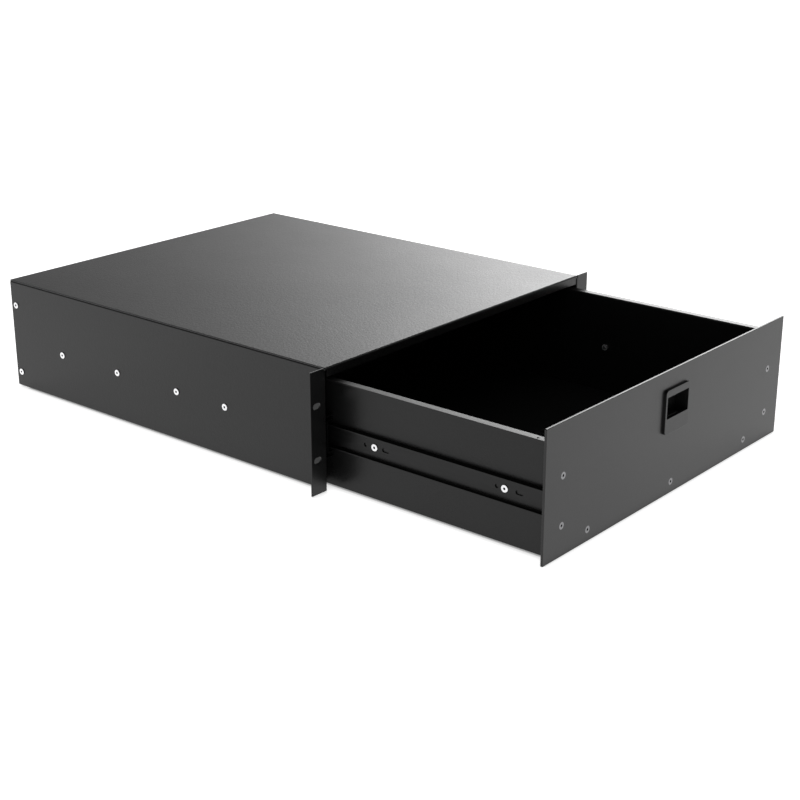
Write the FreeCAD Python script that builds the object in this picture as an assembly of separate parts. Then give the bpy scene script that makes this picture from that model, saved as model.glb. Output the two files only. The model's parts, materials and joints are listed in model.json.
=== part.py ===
import FreeCAD, Part
import math
import os

V = FreeCAD.Vector

# Sliding rack drawer, 3 rack units high, for a 19 inch rack.
# Work frame of this file: X right, Y back, Z up, millimetres, with y = 0 on
# the front of the rack ears and z = 0 under the case.  The finished pieces are
# shifted at the end, so that the origin is the centre of the four rack-ear
# slots on the rear (seating) face of the ears.

# ---------------------------------------------------------------- dimensions
case_w = 440.7            # outside width of the case
case_d = 500.0            # depth of the case behind the ears' front
case_h = 130.56           # height of the case
case_t = 1.5              # sheet thickness of the case
lip_h = 10.26             # height of the folded front lip of the top panel
bend_r = 1.75             # outside radius of the bends along the top edges

ear_span = 482.6          # over the two rack ears
slot_span = 465.1         # between the slot columns
slot_pitch = 57.15        # between the slot rows of a 3-unit panel
slot_h = 6.8              # slot height
slot_len = 10.3           # slot length, end to end
mid_z = case_h / 2.0      # middle of the slot pattern above the case's base

rear_screw_y = case_d - 8.1
rear_screw_z = (18.4, 100.6)
side_screw_y = (143.6, 218.2, 315.2, 411.3)

slide_z = 55.9            # centre line of the two slides
slide_gap = 12.7          # room for a slide between drawer and case
slide_t = 1.2             # sheet thickness of the slide members
slide_front = 2.0         # front end of the outer member
slide_len = 494.0         # outer member
slide_len_in = 486.0      # middle and inner member
travel_in = 262.5         # travel of the inner member in the middle one
travel_out = 231.5        # travel of the middle member in the outer one
ball_d = 3.969            # slide balls, 5/32 inch
ball_rows = 8             # balls in one row of one retainer
ball_pitch = 25.0
retainer_len = 190.0
retainer_t = 0.7

drawer_open = 262.5       # how far the drawer is out in the modelled pose
closed_gap = 0.5          # faceplate to ears when shut
tray_t = 1.2              # sheet thickness of the tray
tray_len = 488.0          # side walls, front to rear
tray_rim_z = 117.3        # top of the folded rim
tray_base_z = 0.3         # underside of the tray
rim_out = 8.25            # rim flange, outwards from the wall

plate_w = 444.0           # faceplate
plate_h = 133.35
plate_t = 2.5
plate_z0 = -1.05          # lower edge of the faceplate
plate_screw_x = 193.4
plate_screw_z = (31.2, 80.7)      # above the faceplate's lower edge
plate_foot_x = (-149.7, 0.0, 149.7)
plate_foot_z = 12.1

tray_screw_closed = (51.4, 209.4, 430.4)   # from the shut position
tray_screw_z = 56.6       # a little above the centre of the inner members
inner_hole_dy = (9.3, 12.0, 12.0)          # locating hole behind each screw
inner_slot_dy = (12.1, 9.5, 9.5)           # oblong slot in front of each screw
inner_slot = (9.0, 4.5)   # its length and height
screw_d = 4.0             # M4 screws throughout the case and tray
head_d = 7.6              # screw heads, flat on top
sunk_d = 7.2              # countersunk heads of the faceplate screws
head_h = 0.9
socket_af = 2.5
socket_depth = 1.6
foot_set_back = 22.0      # front end of the base flanges, behind the ears

bez_w, bez_h = 45.0, 46.3         # latch bezel
bez_z0 = 68.0                     # lower edge above the faceplate's edge
bez_out = 2.7                     # how far it stands out of the faceplate
win_w = 40.0                      # finger window
win_z0, win_z1 = 84.4, 107.0
bolt_travel = 6.5                 # travel of the latch bolt, downwards

# ------------------------------------------------------------------- derived
HX = case_w / 2.0                 # outer face of the case side
IX = HX - case_t                  # inner face of the case side
WX = IX - slide_gap               # outer face of the tray wall
WI = WX - tray_t                  # inner face of the tray wall
PY1 = -drawer_open - closed_gap   # rear face of the faceplate
PY0 = PY1 - plate_t               # front face of the faceplate
TY1 = PY1 + tray_len              # rear end of the tray
MID_OPEN = max(0.0, drawer_open - travel_in)   # how far the middle members are out


# ------------------------------------------------------------------- helpers
def box(x0, x1, y0, y1, z0, z1):
    return Part.makeBox(x1 - x0, y1 - y0, z1 - z0, V(x0, y0, z0))


def cyl(p, d, r, h):
    return Part.makeCylinder(r, h, V(*p), V(*d))


def to3(plane, u, v, w):
    if plane == "xz":
        return V(u, w, v)
    if plane == "xy":
        return V(u, v, w)
    return V(w, u, v)             # "yz"


def outline(plane, pts, w):
    """Closed wire through (u, v) or (u, v, r) points, r rounding that corner."""
    n = len(pts)
    P = [(p[0], p[1], p[2] if len(p) > 2 else 0.0) for p in pts]
    ends = []
    for i in range(n):
        x, y, r = P[i]
        ax, ay, _ = P[i - 1]
        bx, by, _ = P[(i + 1) % n]
        if r <= 0:
            ends.append(((x, y), None, (x, y)))
            continue
        ux, uy = ax - x, ay - y
        vx, vy = bx - x, by - y
        lu, lv = math.hypot(ux, uy), math.hypot(vx, vy)
        ux, uy, vx, vy = ux / lu, uy / lu, vx / lv, vy / lv
        half = math.acos(max(-1.0, min(1.0, ux * vx + uy * vy))) / 2.0
        d = r / math.tan(half)
        bxs, bys = ux + vx, uy + vy
        lb = math.hypot(bxs, bys)
        k = r / math.sin(half)
        cx, cy = x + bxs / lb * k, y + bys / lb * k
        mx, my = cx - bxs / lb * r, cy - bys / lb * r
        ends.append(((x + ux * d, y + uy * d), (mx, my), (x + vx * d, y + vy * d)))
    edges = []
    for i in range(n):
        a, m, b = ends[i]
        if m is not None:
            edges.append(Part.Arc(to3(plane, a[0], a[1], w), to3(plane, m[0], m[1], w),
                                  to3(plane, b[0], b[1], w)).toShape())
        c = ends[(i + 1) % n][0]
        if math.hypot(c[0] - b[0], c[1] - b[1]) > 1e-6:
            edges.append(Part.LineSegment(to3(plane, b[0], b[1], w),
                                          to3(plane, c[0], c[1], w)).toShape())
    return Part.Wire(edges)


def prism(plane, pts, w0, w1):
    f = Part.Face(outline(plane, pts, w0))
    d = {"xz": V(0, w1 - w0, 0), "xy": V(0, 0, w1 - w0), "yz": V(w1 - w0, 0, 0)}[plane]
    return f.extrude(d)


def rrect(plane, u0, u1, v0, v1, r, w0, w1):
    return prism(plane, [(u0, v0, r), (u1, v0, r), (u1, v1, r), (u0, v1, r)], w0, w1)


def fuse(a, *rest):
    out = a.multiFuse(list(rest)) if rest else a
    return out.removeSplitter()


def cut(a, *rest):
    out = a
    for b in rest:
        out = out.cut(b)
    return out


def mirror_x(s):
    return s.mirror(V(0, 0, 0), V(1, 0, 0))


def edges_where(shape, test):
    return [e for e in shape.Edges if test(e)]


def soften(shape, r, test):
    es = edges_where(shape, test)
    if not es:
        return shape
    out = shape.makeFillet(r, es)
    return out if out.isValid() else shape


def near(a, b, tol=1e-3):
    return abs(a - b) < tol


def flat_on(e, axis, value):
    """Every point of the edge lies on the plane axis = value."""
    for vtx in e.Vertexes:
        if not near(getattr(vtx.Point, axis), value):
            return False
    mid = e.valueAt((e.FirstParameter + e.LastParameter) / 2.0)
    return near(getattr(mid, axis), value)


def hexagon(af, h, base):
    r = af / math.sqrt(3.0)
    pts = [V(r * math.cos(math.radians(60 * i + 30)), r * math.sin(math.radians(60 * i + 30)), base)
           for i in range(7)]
    return Part.Face(Part.makePolygon(pts)).extrude(V(0, 0, h))


def button_screw(d, length, hd, hh, af, depth):
    """Button-head socket screw: seat at z = 0, head upwards, shank downwards."""
    edges = [
        Part.LineSegment(V(0, 0, -length), V(d / 2 - 0.3, 0, -length)).toShape(),
        Part.LineSegment(V(d / 2 - 0.3, 0, -length), V(d / 2, 0, -length + 0.3)).toShape(),
        Part.LineSegment(V(d / 2, 0, -length + 0.3), V(d / 2, 0, 0)).toShape(),
        Part.LineSegment(V(d / 2, 0, 0), V(hd / 2, 0, 0)).toShape(),
        Part.LineSegment(V(hd / 2, 0, 0), V(hd / 2, 0, 0.35)).toShape(),
        Part.Arc(V(hd / 2, 0, 0.35), V(hd * 0.395, 0, hh * 0.72), V(hd * 0.24, 0, hh)).toShape(),
        Part.LineSegment(V(hd * 0.24, 0, hh), V(0, 0, hh)).toShape(),
        Part.LineSegment(V(0, 0, hh), V(0, 0, -length)).toShape(),
    ]
    body = Part.Face(Part.Wire(edges)).revolve(V(0, 0, 0), V(0, 0, 1), 360)
    return body.cut(hexagon(af, depth + 1.0, hh - depth))


def flat_screw(d, length, hd, hh, af, depth):
    """Thin flat-head socket screw: seat at z = 0, head upwards, shank downwards."""
    e = 0.22
    pts = [V(0, 0, -length), V(d / 2 - 0.3, 0, -length), V(d / 2, 0, -length + 0.3), V(d / 2, 0, 0),
           V(hd / 2, 0, 0), V(hd / 2, 0, hh - e), V(hd / 2 - e, 0, hh), V(0, 0, hh), V(0, 0, -length)]
    body = Part.Face(Part.makePolygon(pts)).revolve(V(0, 0, 0), V(0, 0, 1), 360)
    return body.cut(hexagon(af, depth + 1.0, hh - depth))


def sunk_screw(d, length, hd, af, depth):
    """Countersunk socket screw, 90 degrees: head's flat top at z = 0, shank downwards."""
    k = (hd - d) / 2.0
    pts = [V(0, 0, -length), V(d / 2 - 0.3, 0, -length), V(d / 2, 0, -length + 0.3), V(d / 2, 0, -k - 0.12),
           V(hd / 2, 0, -0.12), V(hd / 2, 0, 0), V(0, 0, 0), V(0, 0, -length)]
    body = Part.Face(Part.makePolygon(pts)).revolve(V(0, 0, 0), V(0, 0, 1), 360)
    return body.cut(hexagon(af, depth + 1.0, -depth))


def sink(d, hd, h):
    """Tool for a countersunk hole: mouth at z = 0, through to z = -h."""
    k = (hd - d) / 2.0
    pts = [V(0, 0, -h), V(d / 2, 0, -h), V(d / 2, 0, -k - 0.12), V(hd / 2, 0, -0.12), V(hd / 2, 0, 1), V(0, 0, 1),
           V(0, 0, -h)]
    return Part.Face(Part.makePolygon(pts)).revolve(V(0, 0, 0), V(0, 0, 1), 360)


def aim(shape, direction, at):
    """Turn +Z of a shape onto a direction and move its origin to a point."""
    s = shape.copy()
    rot = FreeCAD.Rotation(V(0, 0, 1), V(*direction))
    s.Placement = FreeCAD.Placement(V(*at), rot)
    return s


def round_nut(d_hole, d_out, h):
    """Clinch nut: a round collar that sits on the sheet at z = 0."""
    s = Part.makeCylinder(d_out / 2, h).cut(Part.makeCylinder(d_hole / 2, h + 2, V(0, 0, -1)))
    top = [e for e in s.Edges if flat_on(e, "z", h) and e.BoundBox.XLength > d_out - 0.1]
    return s.makeChamfer(0.4, top)


def hex_nut(d_hole, af, h):
    s = hexagon(af, h, 0).cut(Part.makeCylinder(d_hole / 2, h + 2, V(0, 0, -1)))
    cone = Part.makeCone(af / 2 + h, af / 2 - 0.15, h + 0.45, V(0, 0, 0))
    return s.common(cone)


parts = {}


def put(name, *shapes):
    solids = []
    for s in shapes:
        solids.extend(s.Solids)
    parts[name] = solids


# ----------------------------------------------------------------- the case
# Top panel: flat sheet whose front edge is folded down into a short lip.  It
# lies on the inward flanges of the two side panels and stops 0.45 mm short of
# their outer faces, which leaves a fine groove along each long edge.
top_z0 = case_h - case_t
top_x = HX - 0.45
lip_x = IX - 1.7
top = prism("yz", [
    (0.0, case_h - lip_h), (0.0, case_h, bend_r), (case_d, case_h),
    (case_d, top_z0), (case_t, top_z0, bend_r - case_t), (case_t, case_h - lip_h)],
    -top_x, top_x)
for s in (-1, 1):
    x0, x1 = sorted((s * lip_x, s * (top_x + 1)))
    top = top.cut(box(x0, x1, -1, 3.4, 0, top_z0 - 1.4))
top = soften(top, 0.45, lambda e: flat_on(e, "z", case_h) and
             (flat_on(e, "x", top_x) or flat_on(e, "x", -top_x) or flat_on(e, "y", case_d)))
top = soften(top, 0.4, lambda e: flat_on(e, "z", case_h - lip_h) and flat_on(e, "y", 0.0))
put("case_top", top)


# Side panels: a channel whose flanges turn inwards at the top and bottom; the
# front end turns outwards and is the rack ear.
def side_panel():
    flange_z = top_z0
    web = prism("xz", [
        (209.0, 0.0), (HX, 0.0, 2.1), (HX, flange_z, bend_r), (206.0, flange_z),
        (206.0, flange_z - case_t), (IX, flange_z - case_t, bend_r - case_t), (IX, case_t, 0.6), (209.0, case_t)],
        4.0, case_d)
    ear_x = ear_span / 2.0
    front = prism("xy", [
        (IX, 4.6), (IX, 0.0, 2.1), (ear_x, 0.0), (ear_x, case_t), (HX, case_t, 0.6), (HX, 4.6)],
        0.2, flange_z - 1.6)
    ear_top = prism("xy", [
        (HX + 0.75, 0.0), (ear_x, 0.0), (ear_x, case_t), (HX + 0.75, case_t)],
        flange_z - 2.0, case_h - 0.06)
    s = fuse(web, front, ear_top)
    # rear end of the bottom flange makes room for the back panel
    s = s.cut(box(200, IX - 0.05, case_d - 16.0, case_d + 1, -1, case_t + 0.05))
    # its front end stays clear of the ear's bend
    s = s.cut(box(200, IX - 0.05, -1, foot_set_back, -1, case_t + 0.05))
    # two rack slots
    for dz in (-slot_pitch / 2, slot_pitch / 2):
        z = mid_z + dz
        cx = slot_span / 2.0
        a = (slot_len - slot_h) / 2.0
        r = slot_h / 2.0
        e = [Part.LineSegment(V(cx - a, -2, z - r), V(cx + a, -2, z - r)).toShape(),
             Part.Arc(V(cx + a, -2, z - r), V(cx + a + r, -2, z), V(cx + a, -2, z + r)).toShape(),
             Part.LineSegment(V(cx + a, -2, z + r), V(cx - a, -2, z + r)).toShape(),
             Part.Arc(V(cx - a, -2, z + r), V(cx - a - r, -2, z), V(cx - a, -2, z - r)).toShape()]
        s = s.cut(Part.Face(Part.Wire(e)).extrude(V(0, 6, 0)))
    # screw holes: slide screws along the middle, two at the rear for the back
    for y in side_screw_y:
        s = s.cut(cyl((IX - 1, y, slide_z), (1, 0, 0), 2.15, case_t + 2))
    for z in rear_screw_z:
        s = s.cut(cyl((IX - 1, rear_screw_y, z), (1, 0, 0), 2.15, case_t + 2))
    # eased outer edges of the ear
    s = soften(s, 0.4, lambda e: flat_on(e, "x", ear_x) and flat_on(e, "y", 0.0))
    s = soften(s, 0.35, lambda e: flat_on(e, "z", case_h - 0.06) and flat_on(e, "y", 0.0))
    return s


side_r = side_panel()
put("case_side_right", side_r)
put("case_side_left", mirror_x(side_r))

# Back panel: a shallow tray with forward flanges.  The side flanges take the
# four rear screws, the top flange lies under the top panel.
bx = IX - 0.1
back = prism("xy", [
    (-bx, case_d - 15.0), (-bx + case_t, case_d - 15.0), (-bx + case_t, case_d - case_t, 0.6),
    (bx - case_t, case_d - case_t, 0.6), (bx - case_t, case_d - 15.0), (bx, case_d - 15.0),
    (bx, case_d, 2.1), (-bx, case_d, 2.1)], 2.0, top_z0 - case_t - 0.2)
back_fold = 10.0                  # depth of the back panel's top and base flanges
mid = prism("yz", [
    (case_d - back_fold, 0.0), (case_d, 0.0, 2.1), (case_d, top_z0, 2.1), (case_d - back_fold, top_z0),
    (case_d - back_fold, top_z0 - case_t), (case_d - case_t, top_z0 - case_t, 0.6),
    (case_d - case_t, case_t, 0.6), (case_d - back_fold, case_t)], -205.6, 205.6)
back = fuse(back, mid)
# the side flanges are notched round the slides' outer members
for s in (-1, 1):
    x0, x1 = sorted((s * (bx - case_t - 0.7), s * (bx + 1)))
    back = back.cut(box(x0, x1, case_d - 16, case_d - case_t - 0.7, slide_z - 24.5, slide_z + 24.5))
for s in (-1, 1):
    for z in rear_screw_z:
        back = back.cut(cyl((s * (IX - 6), rear_screw_y, z), (s, 0, 0), 2.15, 10))
put("case_back", back)

rear_scr, rear_nut, side_scr = [], [], []
for s in (-1, 1):
    for z in rear_screw_z:
        rear_scr.append(aim(flat_screw(screw_d - 0.04, 5.2, head_d, head_h, socket_af, socket_depth),
                            (s, 0, 0), (s * HX, rear_screw_y, z)))
        rear_nut.append(aim(round_nut(screw_d + 0.04, 6.6, 2.2),
                            (-s, 0, 0), (s * (bx - case_t), rear_screw_y, z)))
    for y in side_screw_y:
        side_scr.append(aim(flat_screw(screw_d - 0.04, case_t + slide_t - 0.05, head_d, head_h,
                                       socket_af, socket_depth),
                            (s, 0, 0), (s * HX, y, slide_z)))
put("back_panel_screws", *rear_scr)
put("back_panel_nuts", *rear_nut)
put("slide_to_case_screws", *side_scr)

# --------------------------------------------------------------- the slides
# Three nested channels on each side.  Every flange has a shallow rolled race,
# with a row of balls between two races.
race_w, race_b = 1.2, 0.2
H1 = 22.85                        # outer member, over its flanges, halved
crest1 = H1 - slide_t             # inner face of its race
clear = 0.178
dip2 = crest1 - ball_d - 2 * clear        # middle member, outer race
out2 = dip2 + race_b                      # its outer face between races
in2 = out2 - slide_t
crest2 = in2 + race_b                     # its inner race
dip3 = crest2 - ball_d - 2 * clear        # inner member's race
H3 = dip3 + race_b                        # inner member, halved height
row_o = 212.4                     # ball row between outer and middle member
row_i = 209.6                     # ball row between middle and inner member
web1 = (IX - slide_t, IX)
web2 = (IX - 4.25, IX - 3.05)     # 214.6 .. 215.8
tip1, tip2, tip3 = 208.0, 208.0, 212.2


def race(plane_pts, y0, y1):
    """Extrude a list of ('l'|'a', points) segments in XZ from y0 to y1."""
    edges = []
    for seg in plane_pts:
        p = [V(q[0], y0, q[1]) for q in seg]
        if len(p) == 2:
            if (p[0] - p[1]).Length > 1e-6:
                edges.append(Part.LineSegment(p[0], p[1]).toShape())
        else:
            edges.append(Part.Arc(p[0], p[1], p[2]).toShape())
    return Part.Face(Part.Wire(edges)).extrude(V(0, y1 - y0, 0))


def half_path(stations):
    """Segments along one face of a flange.  stations: (x, h) or (x, h, bump)."""
    segs, cur = [], None
    for st in stations:
        if len(st) == 2:
            if cur is not None:
                segs.append([cur, st])
            cur = st
        else:
            x, h, b, sgn = st
            a = (x + sgn * race_w, h)
            c = (x - sgn * race_w, h)
            if cur is not None:
                segs.append([cur, a])
            segs.append([a, (x, h + b), c])
            cur = c
    return segs


def flip(segs):
    return [[(q[0], -q[1]) for q in reversed(s)] for s in reversed(segs)]


def channel_out(y0, y1):
    """Outer member: web against the case, flanges towards the drawer."""
    n = H1 - race_b
    up_out = half_path([(web1[1], 0.0), (web1[1], n - 1.8)])
    arc_o = [[(web1[1], n - 1.8), (web1[1] - 0.527, n - 0.527), (web1[1] - 1.8, n)]]
    flange_o = half_path([(web1[1] - 1.8, n), (row_o, n, race_b, 1), (tip1, n)])
    end = [[(tip1, n), (tip1, n - slide_t)]]
    flange_i = half_path([(tip1, n - slide_t), (row_o, n - slide_t, race_b, -1),
                          (web1[0] - 0.6, n - slide_t)])
    arc_i = [[(web1[0] - 0.6, n - slide_t), (web1[0] - 0.176, n - slide_t - 0.176),
              (web1[0], n - slide_t - 0.6)]]
    down = [[(web1[0], n - slide_t - 0.6), (web1[0], 0.0)]]
    upper = up_out + arc_o + flange_o + end + flange_i + arc_i + down
    lower = flip(upper)
    segs = upper + lower
    segs = [[(q[0], q[1] + slide_z) for q in s] for s in segs]
    return race(segs, y0, y1).removeSplitter()


def channel_mid(y0, y1):
    """Middle member: balls run outside its flanges and inside them."""
    up = half_path([(web2[1], 0.0), (web2[1], out2 - 1.8)])
    arc_o = [[(web2[1], out2 - 1.8), (web2[1] - 0.527, out2 - 0.527), (web2[1] - 1.8, out2)]]
    fo = half_path([(web2[1] - 1.8, out2), (row_o, out2, -race_b, 1), (row_i, out2, race_b, 1),
                    (tip2, out2)])
    end = [[(tip2, out2), (tip2, in2)]]
    fi = half_path([(tip2, in2), (row_i, in2, race_b, -1), (row_o, in2, -race_b, -1),
                    (web2[0] - 0.6, in2)])
    arc_i = [[(web2[0] - 0.6, in2), (web2[0] - 0.176, in2 - 0.176), (web2[0], in2 - 0.6)]]
    down = [[(web2[0], in2 - 0.6), (web2[0], 0.0)]]
    upper = up + arc_o + fo + end + fi + arc_i + down
    segs = upper + flip(upper)
    segs = [[(q[0], q[1] + slide_z) for q in s] for s in segs]
    return race(segs, y0, y1).removeSplitter()


def channel_in(y0, y1):
    """Inner member: web against the tray wall, flanges towards the case."""
    w0, w1 = WX, WX + slide_t
    up = [[(w0, 0.0), (w0, H3 - 1.2)]]
    arc_o = [[(w0, H3 - 1.2), (w0 + 0.351, H3 - 0.351), (w0 + 1.2, H3)]]
    fo = half_path([(w0 + 1.2, H3), (row_i, H3, -race_b, -1), (tip3, H3)])
    end = [[(tip3, H3), (tip3, H3 - slide_t)]]
    fi = half_path([(tip3, H3 - slide_t), (row_i, H3 - slide_t, -race_b, 1),
                    (w1 + 0.3, H3 - slide_t)])
    arc_i = [[(w1 + 0.3, H3 - slide_t), (w1 + 0.088, H3 - slide_t - 0.088), (w1, H3 - slide_t - 0.3)]]
    down = [[(w1, H3 - slide_t - 0.3), (w1, 0.0)]]
    upper = up + arc_o + fo + end + fi + arc_i + down
    segs = upper + flip(upper)
    segs = [[(q[0], q[1] + slide_z) for q in s] for s in segs]
    return race(segs, y0, y1).removeSplitter()


outer = channel_out(slide_front, slide_front + slide_len)
for y in side_screw_y:
    outer = outer.cut(cyl((IX - 3, y, slide_z), (1, 0, 0), screw_d / 2, 6))
for y in (40.0, 264.0, 462.0):
    outer = outer.cut(rrect("yz", y - 6, y + 6, slide_z - 3, slide_z + 3, 2.9, IX - 3, IX + 1))
put("slide_outer_right", outer)
put("slide_outer_left", mirror_x(outer))

mid_y0 = slide_front - MID_OPEN
middle = channel_mid(mid_y0, mid_y0 + slide_len_in)
for y in (70.0, 250.0, 430.0):
    middle = middle.cut(rrect("yz", mid_y0 + y - 14, mid_y0 + y + 14, slide_z - 4.5, slide_z + 4.5, 4.4,
                              web2[0] - 1, web2[1] + 1))
put("slide_middle_right", middle)
put("slide_middle_left", mirror_x(middle))

in_y0 = slide_front - drawer_open
inner = channel_in(in_y0, in_y0 + slide_len_in)
tray_screw_y = [y - drawer_open for y in tray_screw_closed]
for y, dy_hole, dy_slot in zip(tray_screw_y, inner_hole_dy, inner_slot_dy):
    z = tray_screw_z
    inner = inner.cut(cyl((WX - 1, y, z), (1, 0, 0), screw_d / 2, 4))
    # round locating hole behind each screw, oblong slot in front of it
    inner = inner.cut(cyl((WX - 1, y + dy_hole, z), (1, 0, 0), 2.1, 4))
    inner = inner.cut(rrect("yz", y - dy_slot - inner_slot[0], y - dy_slot,
                            z - inner_slot[1] / 2, z + inner_slot[1] / 2, 2.1, WX - 1, WX + 4))
put("slide_inner_right", inner)
put("slide_inner_left", mirror_x(inner))


# Ball retainers: thin C-shaped strips with a hole for every ball.
def retainer(web_x, web_out, tip, h_mid, row, y0):
    t = retainer_t
    s = prism("xz", [
        (tip, slide_z + h_mid + t / 2), (web_out, slide_z + h_mid + t / 2, 1.0),
        (web_out, slide_z - h_mid - t / 2, 1.0), (tip, slide_z - h_mid - t / 2),
        (tip, slide_z - h_mid + t / 2), (web_x, slide_z - h_mid + t / 2, 0.3),
        (web_x, slide_z + h_mid - t / 2, 0.3), (tip, slide_z + h_mid - t / 2)],
        y0, y0 + retainer_len)
    holes, balls = [], []
    first = y0 + (retainer_len - ball_pitch * (ball_rows - 1)) / 2.0
    for i in range(ball_rows):
        y = first + i * ball_pitch
        holes.append(cyl((row, y, slide_z - h_mid - 3), (0, 0, 1), ball_d / 2 + 0.12, 2 * h_mid + 6))
        for sg in (-1, 1):
            b = Part.makeSphere(ball_d / 2, V(row, y, slide_z + sg * h_mid))
            balls.append(b)
    # long windows lighten the strip's web
    for i in range(3):
        yc = y0 + retainer_len * (i + 0.5) / 3.0
        holes.append(rrect("yz", yc - 22, yc + 22, slide_z - 6, slide_z + 6, 3.0, web_x - 1, web_out + 1))
    for h in holes:
        s = s.cut(h)
    return s, balls


h_o = (crest1 + dip2) / 2.0
h_i = (crest2 + dip3) / 2.0
ro_y0 = 150.0 - MID_OPEN / 2.0
ri_y0 = mid_y0 + 148.0 - (drawer_open - MID_OPEN) / 2.0
ret_o, balls_o = retainer(IX - 2.45, IX - 1.75, 209.7, h_o, row_o, ro_y0)
ret_i, balls_i = retainer(IX - 5.8, IX - 5.1, 207.1, h_i, row_i, ri_y0)
put("ball_retainer_outer_right", ret_o)
put("ball_retainer_outer_left", mirror_x(ret_o))
put("ball_retainer_inner_right", ret_i)
put("ball_retainer_inner_left", mirror_x(ret_i))
put("slide_balls_outer", *(balls_o + [mirror_x(b) for b in balls_o]))
put("slide_balls_inner", *(balls_i + [mirror_x(b) for b in balls_i]))

# Rear bumpers: rubber blocks in the rear end of the outer members, where the
# two moving members stop when the drawer is shut.
bump = rrect("xz", tip1 + 0.9, web1[0], slide_z - 16.5, slide_z + 16.5, 1.5,
             slide_front + slide_len_in + 0.6, slide_front + slide_len - 0.2)
put("slide_bumpers", bump, mirror_x(bump))


# ----------------------------------------------------------------- the tray
def tray_side():
    """Right tray wall: outward rim on top, inward flanges front, base, rear."""
    z0, z1 = tray_base_z, tray_rim_z
    t = tray_t
    s = prism("xz", [
        (WX - 12.0, z0), (WX, z0, 1.6), (WX, z1 - t, 0.5), (WX + rim_out, z1 - t),
        (WX + rim_out, z1), (WI, z1, 1.6), (WI, z0 + t, 0.5), (WX - 12.0, z0 + t)],
        PY1 + 2.2, TY1)
    front = prism("xy", [
        (WX, PY1 + 2.6), (WX, PY1, 1.6), (WX - 23.0, PY1), (WX - 23.0, PY1 + t),
        (WI, PY1 + t, 0.5), (WI, PY1 + 2.6)], z0 + 21.5, z1 - 3.0)
    rim_front = box(WX - 0.2, WX + rim_out, PY1 + 0.05, PY1 + 2.6, z1 - t, z1)
    s = fuse(s, front, rim_front)
    for z in plate_screw_z:
        s = s.cut(cyl((plate_screw_x, PY1 - 1, z + plate_z0), (0, 1, 0), 2.15, 5))
    for y in tray_screw_y:
        s = s.cut(cyl((WI - 2, y, tray_screw_z), (1, 0, 0), screw_d / 2, 6))
    # small hole near the front end of the rim
    s = s.cut(cyl((211.25, -249.0, z1 - 4), (0, 0, 1), 1.4, 8))
    s = soften(s, 0.3, lambda e: flat_on(e, "z", z1) and flat_on(e, "x", WX + rim_out))
    return s


tray_r = tray_side()
put("drawer_side_right", tray_r)
put("drawer_side_left", mirror_x(tray_r))

# Floor of the tray: lies on the base flanges, turned up at the front for the
# faceplate's lower screws and at the rear against the back.
fz0 = tray_base_z + tray_t
floor_ = prism("yz", [
    (PY1, fz0, 1.6), (PY1, fz0 + 19.0), (PY1 + tray_t, fz0 + 19.0), (PY1 + tray_t, fz0 + tray_t, 0.5),
    (TY1 - 2 * tray_t - 0.1, fz0 + tray_t, 0.5), (TY1 - 2 * tray_t - 0.1, fz0 + 14.0),
    (TY1 - tray_t - 0.1, fz0 + 14.0), (TY1 - tray_t - 0.1, fz0, 1.6)], -(WI - 0.5), WI - 0.5)
for x in plate_foot_x:
    floor_ = floor_.cut(cyl((x, PY1 - 1, plate_foot_z + plate_z0), (0, 1, 0), 2.15, 5))
put("drawer_floor", floor_)

# Back of the tray: flanges turned forwards inside the walls, rim turned out.
db = WI - 0.15
dback = prism("xy", [
    (-db, TY1 - 14.0), (-db + tray_t, TY1 - 14.0), (-db + tray_t, TY1 - tray_t, 0.5),
    (db - tray_t, TY1 - tray_t, 0.5), (db - tray_t, TY1 - 14.0), (db, TY1 - 14.0),
    (db, TY1, 1.6), (-db, TY1, 1.6)], fz0 + tray_t + 0.1, tray_rim_z - 2.0)
dmid = prism("yz", [
    (TY1 - tray_t, tray_base_z), (TY1, tray_base_z), (TY1, tray_rim_z - tray_t, 0.5),
    (TY1 + 6.0, tray_rim_z - tray_t), (TY1 + 6.0, tray_rim_z), (TY1 - tray_t, tray_rim_z, 1.6)],
    -(db - 13.0), db - 13.0)
dback = fuse(dback, dmid)
# clear the rear flange of the floor
dback = dback.cut(box(-db, -db + tray_t + 0.3, TY1 - 15, TY1 - tray_t - 0.05, 0, fz0 + 14.2))
dback = dback.cut(box(db - tray_t - 0.3, db, TY1 - 15, TY1 - tray_t - 0.05, 0, fz0 + 14.2))
put("drawer_back", dback)

# ----------------------------------------------------------------- faceplate
px = plate_w / 2.0
pz1 = plate_z0 + plate_h
plate = rrect("xz", -px, px, plate_z0, pz1, 0.8, PY0, PY1)
plate = soften(plate, 0.45, lambda e: flat_on(e, "y", PY0))
plate = soften(plate, 0.3, lambda e: flat_on(e, "y", PY1))
cut_x = 21.3
plate = plate.cut(rrect("xz", -cut_x, cut_x, plate_z0 + 71.0, plate_z0 + 113.0, 2.0, PY0 - 1, PY1 + 1))
for s in (-1, 1):
    for z in plate_screw_z:
        plate = plate.cut(aim(sink(4.3, sunk_d + 0.08, 6), (0, -1, 0), (s * plate_screw_x, PY0, z + plate_z0)))
for x in plate_foot_x:
    plate = plate.cut(aim(sink(4.3, sunk_d + 0.08, 6), (0, -1, 0), (x, PY0, plate_foot_z + plate_z0)))
put("faceplate", plate)

fp_scr, fp_nut = [], []
places = [(s * plate_screw_x, z + plate_z0) for s in (-1, 1) for z in plate_screw_z]
places += [(x, plate_foot_z + plate_z0) for x in plate_foot_x]
for x, z in places:
    fp_scr.append(aim(sunk_screw(screw_d - 0.04, 7.0, sunk_d, socket_af, 2.0),
                      (0, -1, 0), (x, PY0, z)))
    fp_nut.append(aim(round_nut(screw_d + 0.04, 7.4, 2.6), (0, 1, 0), (x, PY1 + tray_t, z)))
put("faceplate_screws", *fp_scr)
put("faceplate_nuts", *fp_nut)

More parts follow.
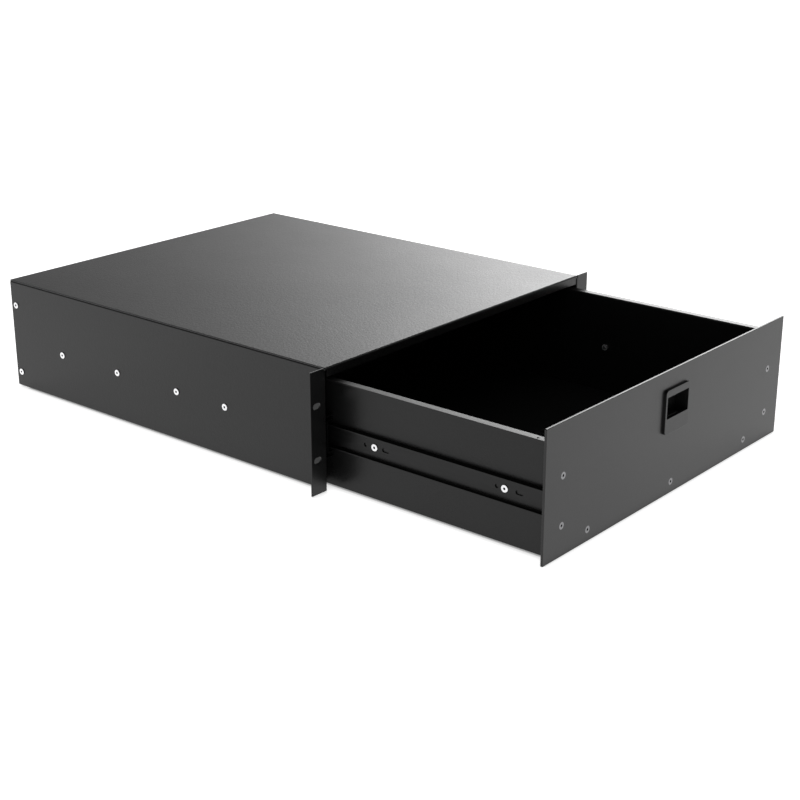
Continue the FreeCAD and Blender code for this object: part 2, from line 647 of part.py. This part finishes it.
ts, tn = [], []
for s in (-1, 1):
    for y in tray_screw_y:
        ts.append(aim(flat_screw(screw_d - 0.04, 5.2, head_d, head_h, socket_af, socket_depth),
                      (s, 0, 0), (s * (WX + slide_t), y, tray_screw_z)))
        tn.append(aim(hex_nut(screw_d + 0.04, 7.0, 2.4), (-s, 0, 0), (s * WI, y, tray_screw_z)))
put("slide_to_drawer_screws", *ts)
put("slide_to_drawer_nuts", *tn)

# -------------------------------------------------------------- finger latch
# The housing drops into the faceplate from the front.  Its pocket opens
# through the window; fingers hook behind the blank lower part and press the
# bolt's tab down.
zf = plate_z0                      # heights below are above the faceplate edge
hx = 21.0
lip_in = PY0 - bez_out + 2.8       # inner face of the housing's front wall
hb = PY0 + 14.0                    # rear face of the housing
pk = hb - 1.5                      # rear face of the pocket
bezel = rrect("xz", -bez_w / 2, bez_w / 2, zf + bez_z0, zf + bez_z0 + bez_h, 4.0, PY0 - bez_out, PY0)
bezel = soften(bezel, 0.35, lambda e: flat_on(e, "y", PY0 - bez_out))
hbody = rrect("xz", -hx, hx, zf + 71.3, zf + 112.7, 1.8, PY0 - 1.0, hb)
housing = fuse(bezel, hbody)
housing = housing.cut(rrect("xz", -win_w / 2, win_w / 2, zf + win_z0, zf + win_z1, 0.8,
                            PY0 - bez_out - 1, lip_in + 0.01))
housing = housing.cut(rrect("xz", -19.9, 19.9, zf + 79.0, zf + 107.6, 1.0, lip_in, pk))
housing = housing.cut(rrect("xz", -17.8, 17.8, zf + 72.8, zf + 111.2, 1.0, lip_in, pk))
housing = housing.cut(box(-11.6, 11.6, pk - 1, hb + 1, zf + 73.2, zf + 84.6))
housing = housing.cut(box(-11.6, 11.6, lip_in, pk + 1, zf + 72.8, zf + 74.0))
lug_z0, lug_z1 = zf + 92.3, zf + 95.0
spring_x = 11.0
lugs = [box(s * spring_x - 1.4, s * spring_x + 1.4, hb - 0.5, hb + 2.9, lug_z0, lug_z1) for s in (-1, 1)]
housing = fuse(housing, *lugs)
cov_scr = [(s * 19.4, zf + z) for s in (-1, 1) for z in (75.0, 109.4)]
for x, z in cov_scr:
    housing = housing.cut(cyl((x, hb - 6.0, z), (0, 1, 0), 1.05, 8))
put("latch_housing", housing)

# Cover: a shell over the housing's rear that clamps it to the faceplate and
# guides the bolt between two rails.
cy = hb + 3.1                      # inner face of the cover's back
cover = rrect("xz", -23.0, 23.0, zf + 69.4, zf + 114.6, 2.5, PY1, cy + 1.5)
cover = soften(cover, 0.8, lambda e: flat_on(e, "y", cy + 1.5))
cover = cover.cut(rrect("xz", -hx - 0.2, hx + 0.2, zf + 71.1, zf + 112.9, 1.9, PY1 - 1, hb))
cover = cover.cut(box(-15.4, 15.4, hb - 0.1, cy, zf + 71.1, zf + 116.0))
cover = cover.cut(box(-12.5, 12.5, PY1 - 1, hb, zf + 112.85, zf + 116.0))
for x, z in cov_scr:
    cover = cover.cut(cyl((x, hb - 1, z), (0, 1, 0), 1.3, 8))
put("latch_cover", cover)

pan = [aim(button_screw(2.08, 8.4, 4.4, 1.5, 1.5, 0.8), (0, 1, 0), (x, cy + 1.5, z)) for x, z in cov_scr]
put("latch_cover_screws", *pan)

# Bolt: a plate behind the pocket with the finger tab below and the ramped
# nose on top, which snaps behind the case's front lip.
b0, b1 = hb + 0.3, hb + 2.8
nose_f = closed_gap + PY1 + case_t + 0.8   # latching face of the nose
nose_z0, nose_z1 = 118.5, 125.3
bolt = box(-15.0, 15.0, b0, b1, zf + 78.0, nose_z0 + 0.5)
nose = prism("yz", [
    (nose_f, nose_z0), (nose_f, nose_z1, 0.4), (nose_f + 2.2, nose_z1, 0.6), (b1, nose_z0 + 1.4), (b1, nose_z0)],
    -12.0, 12.0)
tab = prism("yz", [
    (lip_in + 3.2, zf + 80.3, 0.8), (lip_in + 3.2, zf + 83.6, 0.8), (lip_in + 5.0, zf + 83.6, 0.6),
    (lip_in + 5.6, zf + 82.9, 0.3), (b0 + 1.0, zf + 82.9), (b0 + 1.0, zf + 80.3)], -11.0, 11.0)
bolt = fuse(bolt, nose, tab)
for s in (-1, 1):
    x0 = s * spring_x
    bolt = bolt.cut(box(x0 - 1.7, x0 + 1.7, b0 - 1, b1 + 1, lug_z0 - 0.3, lug_z1 + 15.0))
put("latch_bolt", bolt)


# Two small coil springs stand on the housing's lugs and push the bolt up.
def coil(x, y, z0, height, r_mean, r_wire, pitch):
    helix = Part.makeHelix(pitch, height, r_mean)
    prof = Part.Wire(Part.makeCircle(r_wire, V(r_mean, 0, 0), V(0, 1, 0)))
    s = Part.Wire(helix.Edges).makePipeShell([prof], True, True)
    s = s.copy()
    s.translate(V(x, y, z0))
    return s


sp_y = (hb + cy) / 2.0
springs = [coil(s * spring_x, sp_y, lug_z1 + 0.25, 14.5, 1.05, 0.2, 1.8125) for s in (-1, 1)]
put("latch_springs", *springs)

# --------------------------------------------------------------------- write
os.makedirs("parts", exist_ok=True)
shift = V(0, -case_t, -mid_z)
for name, solids in parts.items():
    out = []
    for s in solids:
        c = s.copy()
        c.translate(shift)
        if not c.isValid():
            print("not valid:", name)
        if c.Volume < 0:
            c.reverse()
        out.append(c)
    shape = out[0] if len(out) == 1 else Part.makeCompound(out)
    bb = shape.BoundBox
    print("%-28s %3d solid(s) %10.1f mm3  x %8.2f %8.2f  y %8.2f %8.2f  z %7.2f %7.2f" % (
        name, len(out), shape.Volume, bb.XMin, bb.XMax, bb.YMin, bb.YMax, bb.ZMin, bb.ZMax))
    shape.exportStep("parts/" + name + ".step")
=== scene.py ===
import json
import math

import bmesh
import bpy
from mathutils import Matrix, Vector


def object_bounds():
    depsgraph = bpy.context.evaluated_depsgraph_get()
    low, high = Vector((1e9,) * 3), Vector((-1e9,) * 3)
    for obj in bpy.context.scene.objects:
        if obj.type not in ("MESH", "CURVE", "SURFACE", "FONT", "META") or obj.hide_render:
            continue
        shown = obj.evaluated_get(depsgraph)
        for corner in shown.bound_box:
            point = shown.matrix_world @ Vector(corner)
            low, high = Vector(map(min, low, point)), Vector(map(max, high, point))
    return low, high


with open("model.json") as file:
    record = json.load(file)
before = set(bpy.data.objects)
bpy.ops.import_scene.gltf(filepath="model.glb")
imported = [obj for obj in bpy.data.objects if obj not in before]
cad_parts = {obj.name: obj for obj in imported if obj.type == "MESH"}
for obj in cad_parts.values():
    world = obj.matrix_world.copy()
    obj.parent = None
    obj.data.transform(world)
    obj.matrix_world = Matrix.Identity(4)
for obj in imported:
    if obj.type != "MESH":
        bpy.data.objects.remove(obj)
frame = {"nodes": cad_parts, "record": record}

cad_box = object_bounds()
nodes = frame["nodes"]
scene = bpy.context.scene

# ------------------------------------------------------------------- camera
AZ, EL, ROLL = math.radians(-49.970), math.radians(20.043), math.radians(-0.037)
back = Vector((math.sin(AZ) * math.cos(EL), -math.cos(AZ) * math.cos(EL), math.sin(EL))).normalized()
right = Vector((0, 0, 1)).cross(back).normalized()
up = back.cross(right).normalized()
r2 = right * math.cos(ROLL) + up * math.sin(ROLL)
u2 = up * math.cos(ROLL) - right * math.sin(ROLL)
cam_data = bpy.data.cameras.new("camera")
cam = bpy.data.objects.new("camera", cam_data)
scene.collection.objects.link(cam)
cam_data.sensor_width = 36.0
cam_data.sensor_fit = "HORIZONTAL"
cam_data.lens = 70.42
cam_data.clip_start = 0.05
cam_data.clip_end = 60.0
cam_pos = Vector((-1.2817, -0.9894, 0.56032))
rot = Matrix((r2, u2, back)).transposed()
cam.matrix_world = Matrix.Translation(cam_pos) @ rot.to_4x4()
scene.camera = cam

scene.view_settings.view_transform = "Standard"
scene.view_settings.look = "None"
scene.view_settings.exposure = 0.0
scene.view_settings.gamma = 1.0


# ---------------------------------------------------------------- materials
class Graph:
    """Small helper round one node material."""

    def __init__(self, name):
        self.mat = bpy.data.materials.new(name)
        self.mat.use_nodes = True
        self.t = self.mat.node_tree
        self.t.nodes.clear()
        self.out = self.t.nodes.new("ShaderNodeOutputMaterial")
        self.bsdf = self.t.nodes.new("ShaderNodeBsdfPrincipled")
        self.t.links.new(self.bsdf.outputs[0], self.out.inputs[0])
        self.coord = self.t.nodes.new("ShaderNodeTexCoord").outputs["Object"]

    def link(self, a, b):
        self.t.links.new(a, b)

    def set(self, **kw):
        for k, v in kw.items():
            self.bsdf.inputs[k.replace("_", " ")].default_value = v

    def mapped(self, scale=(1, 1, 1), rot=(0, 0, 0)):
        n = self.t.nodes.new("ShaderNodeMapping")
        n.inputs["Scale"].default_value = scale
        n.inputs["Rotation"].default_value = rot
        self.link(self.coord, n.inputs["Vector"])
        return n.outputs[0]

    def noise(self, scale, detail=3.0, rough=0.55, vec=None, distortion=0.0):
        n = self.t.nodes.new("ShaderNodeTexNoise")
        n.inputs["Scale"].default_value = scale
        n.inputs["Detail"].default_value = detail
        n.inputs["Roughness"].default_value = rough
        n.inputs["Distortion"].default_value = distortion
        self.link(vec if vec is not None else self.coord, n.inputs["Vector"])
        return n.outputs["Fac"]

    def voronoi(self, scale, vec=None, smooth=True):
        n = self.t.nodes.new("ShaderNodeTexVoronoi")
        n.feature = "SMOOTH_F1" if smooth else "F1"
        n.inputs["Scale"].default_value = scale
        self.link(vec if vec is not None else self.coord, n.inputs["Vector"])
        return n.outputs["Distance"]

    def span(self, fac, lo, hi, a=0.3, b=0.7):
        n = self.t.nodes.new("ShaderNodeMapRange")
        n.inputs["From Min"].default_value = a
        n.inputs["From Max"].default_value = b
        n.inputs["To Min"].default_value = lo
        n.inputs["To Max"].default_value = hi
        self.link(fac, n.inputs["Value"])
        return n.outputs["Result"]

    def ramp(self, fac, stops):
        n = self.t.nodes.new("ShaderNodeValToRGB")
        el = n.color_ramp.elements
        while len(el) < len(stops):
            el.new(0.5)
        for e, (p, c) in zip(el, stops):
            e.position = p
            e.color = (*c, 1.0) if len(c) == 3 else c
        self.link(fac, n.inputs["Fac"])
        return n.outputs["Color"]

    def math(self, op, a, b):
        n = self.t.nodes.new("ShaderNodeMath")
        n.operation = op
        for i, v in enumerate((a, b)):
            if isinstance(v, (int, float)):
                n.inputs[i].default_value = v
            else:
                self.link(v, n.inputs[i])
        return n.outputs[0]

    def mix(self, fac, a, b):
        n = self.t.nodes.new("ShaderNodeMix")
        n.data_type = "RGBA"
        for sock, v in ((n.inputs["Factor"], fac), (n.inputs[6], a), (n.inputs[7], b)):
            if isinstance(v, tuple):
                sock.default_value = (*v, 1.0)
            elif isinstance(v, (int, float)):
                sock.default_value = v
            else:
                self.link(v, sock)
        return n.outputs[2]

    def bump(self, height, distance, strength=1.0, normal=None):
        n = self.t.nodes.new("ShaderNodeBump")
        n.inputs["Distance"].default_value = distance
        n.inputs["Strength"].default_value = strength
        self.link(height, n.inputs["Height"])
        if normal is not None:
            self.link(normal, n.inputs["Normal"])
        return n.outputs[0]

    def painted_recess_shade(self, colour, depth=0.0025, floor_level=0.0):
        """The colour, darkened by painted shade inside narrow recesses such as sockets (an ambient-occlusion node
        scales it).
        """
        n = self.t.nodes.new("ShaderNodeAmbientOcclusion")
        n.samples = 12
        n.inputs["Distance"].default_value = depth
        k = self.span(n.outputs["AO"], floor_level, 1.0, 0.5, 0.85)
        v = self.t.nodes.new("ShaderNodeVectorMath")
        v.operation = "SCALE"
        self.link(colour, v.inputs[0])
        self.link(k, v.inputs["Scale"])
        return v.outputs[0]

    def edge_wear(self, radius=0.0007, lo=0.52, hi=0.62):
        """Worn outer edges, from the mesh's pointiness."""
        n = self.t.nodes.new("ShaderNodeNewGeometry")
        return self.span(n.outputs["Pointiness"], 0.0, 1.0, lo, hi)


def powder(name, dark, light, rough_lo, rough_hi, ior, grain=0.00006, grain_scale=1400.0, speck=0.0):
    g = Graph(name)
    big = g.noise(9.0, 4.0, 0.6)
    mid = g.noise(160.0, 3.0, 0.6)
    fine = g.noise(grain_scale, 2.0, 0.5)
    peel = g.noise(420.0, 2.0, 0.45)
    tone = g.math("ADD", g.math("MULTIPLY", big, 0.5), g.math("MULTIPLY", mid, 0.5))
    g.link(g.ramp(tone, [(0.3, dark), (0.72, light)]), g.bsdf.inputs["Base Color"])
    rsrc = g.math("ADD", g.math("MULTIPLY", fine, 0.6), g.math("MULTIPLY", big, 0.4))
    g.link(g.span(rsrc, rough_lo, rough_hi, 0.3, 0.7), g.bsdf.inputs["Roughness"])
    b0 = g.bump(g.noise(420.0, 2.0, 0.6), speck, 1.0) if speck else None
    b1 = g.bump(peel, grain * 1.6, 0.55, b0)
    b2 = g.bump(fine, grain, 0.8, b1)
    g.link(b2, g.bsdf.inputs["Normal"])
    g.set(IOR=ior)
    return g.mat


def plated(name, tint, rough_lo, rough_hi, streak=(1, 1, 1), bump=0.00001):
    g = Graph(name)
    v = g.mapped(streak)
    n1 = g.noise(700.0, 3.0, 0.6, v)
    n2 = g.noise(60.0, 3.0, 0.6)
    dark = tuple(c * 0.78 for c in tint)
    tone = g.ramp(g.math("ADD", g.math("MULTIPLY", n1, 0.4), g.math("MULTIPLY", n2, 0.6)),
                  [(0.32, dark), (0.7, tint)])
    # painted shade: an ambient-occlusion node darkens the colour in recesses such as sockets
    g.link(g.painted_recess_shade(tone), g.bsdf.inputs["Base Color"])
    g.link(g.span(n1, rough_lo, rough_hi), g.bsdf.inputs["Roughness"])
    g.link(g.bump(n1, bump, 0.6), g.bsdf.inputs["Normal"])
    g.set(Metallic=1.0)
    return g.mat


case_mat = powder("case_powder_coat", (0.0035, 0.0035, 0.0036), (0.0055, 0.0055, 0.0056), 0.27, 0.36, 1.385, speck=0.000025)
top_mat = powder("case_top_powder_coat", (0.0035, 0.0035, 0.0036), (0.0055, 0.0055, 0.0056), 0.27, 0.36, 1.41, speck=0.000135)
tray_mat = powder("tray_powder_coat", (0.0045, 0.0045, 0.0046), (0.0065, 0.0065, 0.0066), 0.26, 0.34, 1.33)
plate_mat = powder("faceplate_coat", (0.005, 0.005, 0.0051), (0.0075, 0.0075, 0.0076), 0.27, 0.36, 1.40, 0.00004, 1800.0)


def slide_material(name, ior):
    g = Graph(name)
    v = g.mapped((1.0, 0.03, 1.0))
    roll = g.noise(900.0, 3.0, 0.6, v)
    patch = g.noise(45.0, 4.0, 0.6)
    g.link(g.ramp(patch, [(0.3, (0.0016, 0.0016, 0.0017)), (0.75, (0.003, 0.003, 0.0031))]), g.bsdf.inputs["Base Color"])
    g.link(g.span(roll, 0.28, 0.42), g.bsdf.inputs["Roughness"])
    g.link(g.bump(roll, 0.00001, 0.7), g.bsdf.inputs["Normal"])
    g.set(IOR=ior)
    return g.mat


slide_mat = slide_material("slide_black_steel", 1.34)
# painted shade: a darker, less reflective copy of the slide coat for the members that sit in shadow inside the case
slide_shaded_copy_mat = slide_material("slide_black_steel_painted_shade", 1.22)
zinc_mat = plated("zinc_fastener", (0.90, 0.90, 0.91), 0.22, 0.36)
nut_mat = plated("zinc_nut_dull", (0.92, 0.92, 0.93), 0.42, 0.58)
retainer_mat = plated("retainer_zinc_steel", (0.55, 0.55, 0.56), 0.25, 0.42, (1.0, 0.05, 1.0))
ball_mat = plated("bearing_steel", (0.86, 0.86, 0.87), 0.05, 0.12, bump=0.000002)
spring_mat = plated("spring_steel", (0.62, 0.62, 0.63), 0.2, 0.35)


def black_oxide():
    g = Graph("black_screw")
    n = g.noise(900.0, 3.0, 0.6)
    w = g.edge_wear(lo=0.53, hi=0.66)
    base = g.ramp(n, [(0.3, (0.15, 0.15, 0.155)), (0.7, (0.20, 0.20, 0.205))])
    # lighter worn edges; painted shade from an ambient-occlusion node darkens the colour in recesses such as the
    # socket
    g.link(g.painted_recess_shade(g.mix(w, base, (0.26, 0.26, 0.265))), g.bsdf.inputs["Base Color"])
    g.link(g.span(n, 0.26, 0.40), g.bsdf.inputs["Roughness"])
    g.link(g.bump(n, 0.00001, 0.5), g.bsdf.inputs["Normal"])
    g.set(Metallic=1.0)
    return g.mat


def plastic(name, dark, light, rlo, rhi, grain, scale, ior=1.4):
    g = Graph(name)
    n = g.voronoi(scale)
    b = g.noise(70.0, 3.0, 0.5)
    g.link(g.ramp(b, [(0.3, dark), (0.7, light)]), g.bsdf.inputs["Base Color"])
    g.link(g.span(n, rlo, rhi, 0.1, 0.7), g.bsdf.inputs["Roughness"])
    g.link(g.bump(n, grain, 0.5), g.bsdf.inputs["Normal"])
    g.set(IOR=ior)
    return g.mat


black_screw_mat = black_oxide()
latch_mat = plastic("latch_plastic", (0.0045, 0.0045, 0.0046), (0.007, 0.007, 0.0071), 0.28, 0.38, 0.00004, 1600.0, 1.38)
bolt_mat = plastic("latch_bolt_plastic", (0.004, 0.004, 0.0041), (0.006, 0.006, 0.0061), 0.25, 0.36, 0.00002, 1200.0)
rubber_mat = plastic("bumper_rubber", (0.008, 0.008, 0.008), (0.012, 0.012, 0.012), 0.6, 0.8, 0.00006, 900.0)

by_slot = {
    "case_powder_coat": case_mat, "tray_powder_coat": tray_mat, "faceplate_coat": plate_mat,
    "slide_black_steel": slide_mat, "zinc_fastener": zinc_mat, "black_screw": black_screw_mat,
    "retainer_zinc_steel": retainer_mat, "bearing_steel": ball_mat, "bumper_rubber": rubber_mat,
    "latch_plastic": latch_mat, "latch_bolt_plastic": bolt_mat, "spring_steel": spring_mat,
}
slot_of = {s["node"]: s["material_slot"] for s in frame["record"]["subparts"]}
for name, obj in nodes.items():
    m = by_slot[slot_of[name]]
    # the outer and middle slide members take the darker painted-shade copy of the slide coat
    if name.startswith(("slide_outer", "slide_middle")):
        m = slide_shaded_copy_mat
    if name.endswith("_nuts"):
        m = nut_mat
    if name == "case_top":
        m = top_mat
    if not obj.material_slots:
        obj.data.materials.append(m)
    for s in obj.material_slots:
        s.material = m

# -------------------------------------------------------------- floor, light
low = cad_box[0][2]
floor_mesh = bpy.data.meshes.new("floor")
bm = bmesh.new()
bmesh.ops.create_grid(bm, x_segments=2, y_segments=2, size=20.0)
bm.to_mesh(floor_mesh)
bm.free()
floor_obj = bpy.data.objects.new("floor", floor_mesh)
floor_obj.location = (0, 0, low - 0.0002)
scene.collection.objects.link(floor_obj)
g = Graph("floor_paper")
g.link(g.ramp(g.noise(2.0, 2.0), [(0.3, (0.86, 0.86, 0.86)), (0.7, (0.87, 0.87, 0.87))]), g.bsdf.inputs["Base Color"])
g.set(Roughness=0.9)
g.bsdf.inputs["Specular IOR Level"].default_value = 0.0
g.bsdf.inputs["Emission Color"].default_value = (1.0, 1.0, 1.0, 1.0)
# painted contact shadow: ambient occlusion within 12 mm dims the floor's glow next to the object
painted_contact_shadow = g.t.nodes.new("ShaderNodeAmbientOcclusion")
painted_contact_shadow.samples = 12
painted_contact_shadow.inputs["Distance"].default_value = 0.012
g.link(g.span(painted_contact_shadow.outputs["AO"], 0.22, 0.95, 0.05, 0.85), g.bsdf.inputs["Emission Strength"])
floor_mesh.materials.append(g.mat)

world = bpy.data.worlds.new("studio")
scene.world = world
world.use_nodes = True
wt = world.node_tree
bg = wt.nodes["Background"]
bg.inputs["Color"].default_value = (1, 1, 1, 1)


def wmath(op, a, b=0.0):
    n = wt.nodes.new("ShaderNodeMath")
    n.operation = op
    for i, v in enumerate((a, b)):
        if isinstance(v, (int, float)):
            n.inputs[i].default_value = v
        else:
            wt.links.new(v, n.inputs[i])
    return n.outputs[0]


def wcurve(value, lo, hi, points):
    """Piecewise-linear curve of a world direction angle, by a colour ramp."""
    peak = max(v for _, v in points)
    rng = wt.nodes.new("ShaderNodeMapRange")
    rng.inputs["From Min"].default_value = lo
    rng.inputs["From Max"].default_value = hi
    wt.links.new(value, rng.inputs["Value"])
    n = wt.nodes.new("ShaderNodeValToRGB")
    el = n.color_ramp.elements
    while len(el) < len(points):
        el.new(0.5)
    for e, (a, v) in zip(el, points):
        e.position = (a - lo) / (hi - lo)
        e.color = (v / peak, v / peak, v / peak, 1.0)
    wt.links.new(rng.outputs[0], n.inputs["Fac"])
    return wmath("MULTIPLY", n.outputs["Color"], peak)


# a wide soft wall of light stands behind and to the right; the ceiling is dark
ray = wt.nodes.new("ShaderNodeTexCoord").outputs["Generated"]
sep = wt.nodes.new("ShaderNodeSeparateXYZ")
wt.links.new(ray, sep.inputs[0])
azim = wmath("MULTIPLY", wmath("ARCTAN2", sep.outputs["X"], sep.outputs["Y"]), 180.0 / math.pi)
elev = wmath("MULTIPLY", wmath("ARCSINE", sep.outputs["Z"]), 180.0 / math.pi)
WALL = [(-180, 0.42), (-60, 0.40), (20, 0.33), (34, 0.34), (38, 0.44), (41, 0.53), (44, 0.70),
        (46.5, 1.00), (49, 1.58), (52, 2.46), (54.5, 3.55), (57, 4.90), (60, 5.40), (70, 5.20),
        (82, 0.5), (180, 0.42)]
wall = wcurve(azim, -180.0, 180.0, WALL)
shade = wcurve(elev, -90.0, 90.0, [(-90, 1.0), (31, 1.0), (42, 0.0), (90, 0.0)])
ceiling = 0.12
wt.links.new(wmath("ADD", wmath("MULTIPLY", wall, shade),
                   wmath("MULTIPLY", wmath("SUBTRACT", 1.0, shade), ceiling)), bg.inputs["Strength"])


def sun(name, direction, strength, angle):
    d = bpy.data.lights.new(name, "SUN")
    d.energy = strength
    d.angle = math.radians(angle)
    o = bpy.data.objects.new(name, d)
    o.rotation_euler = Vector(direction).to_track_quat("-Z", "Y").to_euler()
    scene.collection.objects.link(o)
    return o


def softbox(name, at, target, w, h, power):
    d = bpy.data.lights.new(name, "AREA")
    d.shape = "RECTANGLE"
    d.size, d.size_y = w, h
    d.energy = power
    o = bpy.data.objects.new(name, d)
    o.location = at
    v = Vector(target) - Vector(at)
    o.rotation_euler = v.to_track_quat("-Z", "Y").to_euler()
    scene.collection.objects.link(o)
    return o


top_light = sun("overhead", (0.05, 0.1, -1.0), 0.6, 60.0)
top_light.visible_glossy = False      # it lights the paper, the coats don't mirror it
